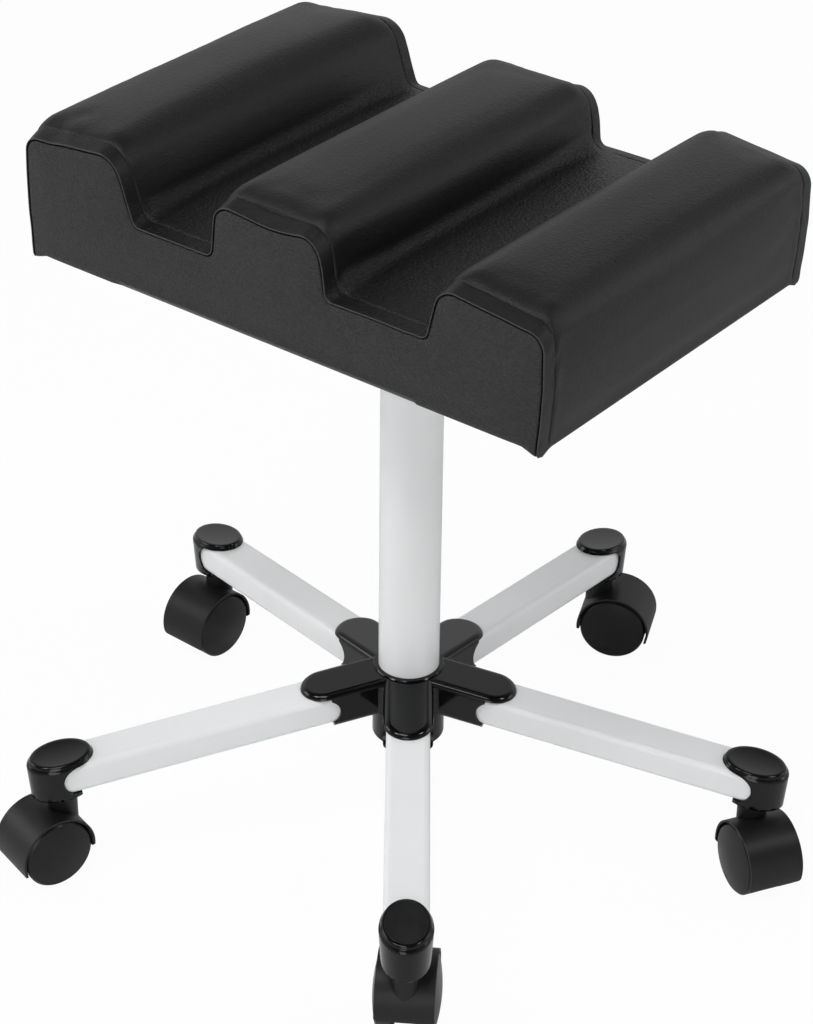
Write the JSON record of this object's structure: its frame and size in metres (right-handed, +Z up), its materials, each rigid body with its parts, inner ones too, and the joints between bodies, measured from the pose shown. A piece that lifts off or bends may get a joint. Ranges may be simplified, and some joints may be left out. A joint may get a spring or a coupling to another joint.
{
  "type": "leg rest stool",
  "caption": "Rolling leg-rest stool: padded top with two leg channels on a fixed column and a star base with tube arms and twin-wheel casters.",
  "frame": {"origin": "centre of the footprint's bounding box on the floor, where the wheels stand on z = 0", "axes": "+Z up; X runs along the long side of the cushion, across its two channels; Y runs along the channels"},
  "size_m": [0.5423, 0.5358, 0.5255],
  "materials": {
    "cover": "charcoal black synthetic leather, fine pebble grain, satin",
    "plywood": "raw plywood board",
    "lining": "black non-woven dust cloth",
    "white_paint": "white powder coat, semi-gloss",
    "zinc_steel": "zinc-plated steel",
    "black_gloss": "gloss black moulded plastic",
    "black_satin": "satin black moulded nylon",
    "black_wheel": "smooth black nylon, low gloss"
  },
  "bodies": {
    "base": {"cushion": "cover", "seat_board": "plywood", "dust_cloth": "lining", "tee_nuts": "zinc_steel", "top_plate": "white_paint", "plate_bolts": "zinc_steel", "column": "white_paint", "column_plug": "zinc_steel", "centre_bolt": "zinc_steel", "centre_washer": "zinc_steel", "hub": "black_gloss", "hub_screws": "zinc_steel", "arm_1": "white_paint", "arm_2": "white_paint", "arm_3": "white_paint", "arm_4": "white_paint", "arm_5": "white_paint", "end_cap_1": "black_gloss", "end_cap_2": "black_gloss", "end_cap_3": "black_gloss", "end_cap_4": "black_gloss", "end_cap_5": "black_gloss", "stem_sleeve_1": "zinc_steel", "stem_sleeve_2": "zinc_steel", "stem_sleeve_3": "zinc_steel", "stem_sleeve_4": "zinc_steel", "stem_sleeve_5": "zinc_steel"},
    "caster_1": {"caster_stem_1": "zinc_steel", "caster_hood_1": "black_satin", "caster_axle_1": "zinc_steel"},
    "wheel_left_1": {"wheel_left_1": "black_wheel"},
    "wheel_right_1": {"wheel_right_1": "black_wheel"},
    "caster_2": {"caster_stem_2": "zinc_steel", "caster_hood_2": "black_satin", "caster_axle_2": "zinc_steel"},
    "wheel_left_2": {"wheel_left_2": "black_wheel"},
    "wheel_right_2": {"wheel_right_2": "black_wheel"},
    "caster_3": {"caster_stem_3": "zinc_steel", "caster_hood_3": "black_satin", "caster_axle_3": "zinc_steel"},
    "wheel_left_3": {"wheel_left_3": "black_wheel"},
    "wheel_right_3": {"wheel_right_3": "black_wheel"},
    "caster_4": {"caster_stem_4": "zinc_steel", "caster_hood_4": "black_satin", "caster_axle_4": "zinc_steel"},
    "wheel_left_4": {"wheel_left_4": "black_wheel"},
    "wheel_right_4": {"wheel_right_4": "black_wheel"},
    "caster_5": {"caster_stem_5": "zinc_steel", "caster_hood_5": "black_satin", "caster_axle_5": "zinc_steel"},
    "wheel_left_5": {"wheel_left_5": "black_wheel"},
    "wheel_right_5": {"wheel_right_5": "black_wheel"}
  },
  "joints": [
    {"name": "swivel_1", "type": "hinge", "parent": "base", "child": "caster_1", "pos_m": [0.22332, 0.06894, 0.06338], "axis": [0, 0, 1], "continuous": true},
    {"name": "roll_left_1", "type": "hinge", "parent": "caster_1", "child": "wheel_left_1", "pos_m": [0.23623, 0.0613, 0.025], "axis": [0.509, 0.8607, 0], "continuous": true},
    {"name": "roll_right_1", "type": "hinge", "parent": "caster_1", "child": "wheel_right_1", "pos_m": [0.23623, 0.0613, 0.025], "axis": [0.509, 0.8607, 0], "continuous": true},
    {"name": "swivel_2", "type": "hinge", "parent": "base", "child": "caster_2", "pos_m": [-0.01859, 0.23272, 0.06338], "axis": [0, 0, 1], "continuous": true},
    {"name": "roll_left_2", "type": "hinge", "parent": "caster_2", "child": "wheel_left_2", "pos_m": [-0.00488, 0.23882, 0.025], "axis": [-0.4067, 0.9135, 0], "continuous": true},
    {"name": "roll_right_2", "type": "hinge", "parent": "caster_2", "child": "wheel_right_2", "pos_m": [-0.00488, 0.23882, 0.025], "axis": [-0.4067, 0.9135, 0], "continuous": true},
    {"name": "swivel_3", "type": "hinge", "parent": "base", "child": "caster_3", "pos_m": [-0.2491, 0.05326, 0.06338], "axis": [0, 0, 1], "continuous": true},
    {"name": "roll_left_3", "type": "hinge", "parent": "caster_3", "child": "wheel_left_3", "pos_m": [-0.24962, 0.03827, 0.025], "axis": [0.9994, -0.0349, 0], "continuous": true},
    {"name": "roll_right_3", "type": "hinge", "parent": "caster_3", "child": "wheel_right_3", "pos_m": [-0.24962, 0.03827, 0.025], "axis": [0.9994, -0.0349, 0], "continuous": true},
    {"name": "swivel_4", "type": "hinge", "parent": "base", "child": "caster_4", "pos_m": [-0.14966, -0.22142, 0.06338], "axis": [0, 0, 1], "continuous": true},
    {"name": "roll_left_4", "type": "hinge", "parent": "caster_4", "child": "wheel_left_4", "pos_m": [-0.1538, -0.23584, 0.025], "axis": [0.9613, -0.2756, 0], "continuous": true},
    {"name": "roll_right_4", "type": "hinge", "parent": "caster_4", "child": "wheel_right_4", "pos_m": [-0.1538, -0.23584, 0.025], "axis": [0.9613, -0.2756, 0], "continuous": true},
    {"name": "swivel_5", "type": "hinge", "parent": "base", "child": "caster_5", "pos_m": [0.1423, -0.21174, 0.06338], "axis": [0, 0, 1], "continuous": true},
    {"name": "roll_left_5", "type": "hinge", "parent": "caster_5", "child": "wheel_left_5", "pos_m": [0.13413, -0.19915, 0.025], "axis": [-0.8387, -0.5446, 0], "continuous": true},
    {"name": "roll_right_5", "type": "hinge", "parent": "caster_5", "child": "wheel_right_5", "pos_m": [0.13413, -0.19915, 0.025], "axis": [-0.8387, -0.5446, 0], "continuous": true}
  ]
}
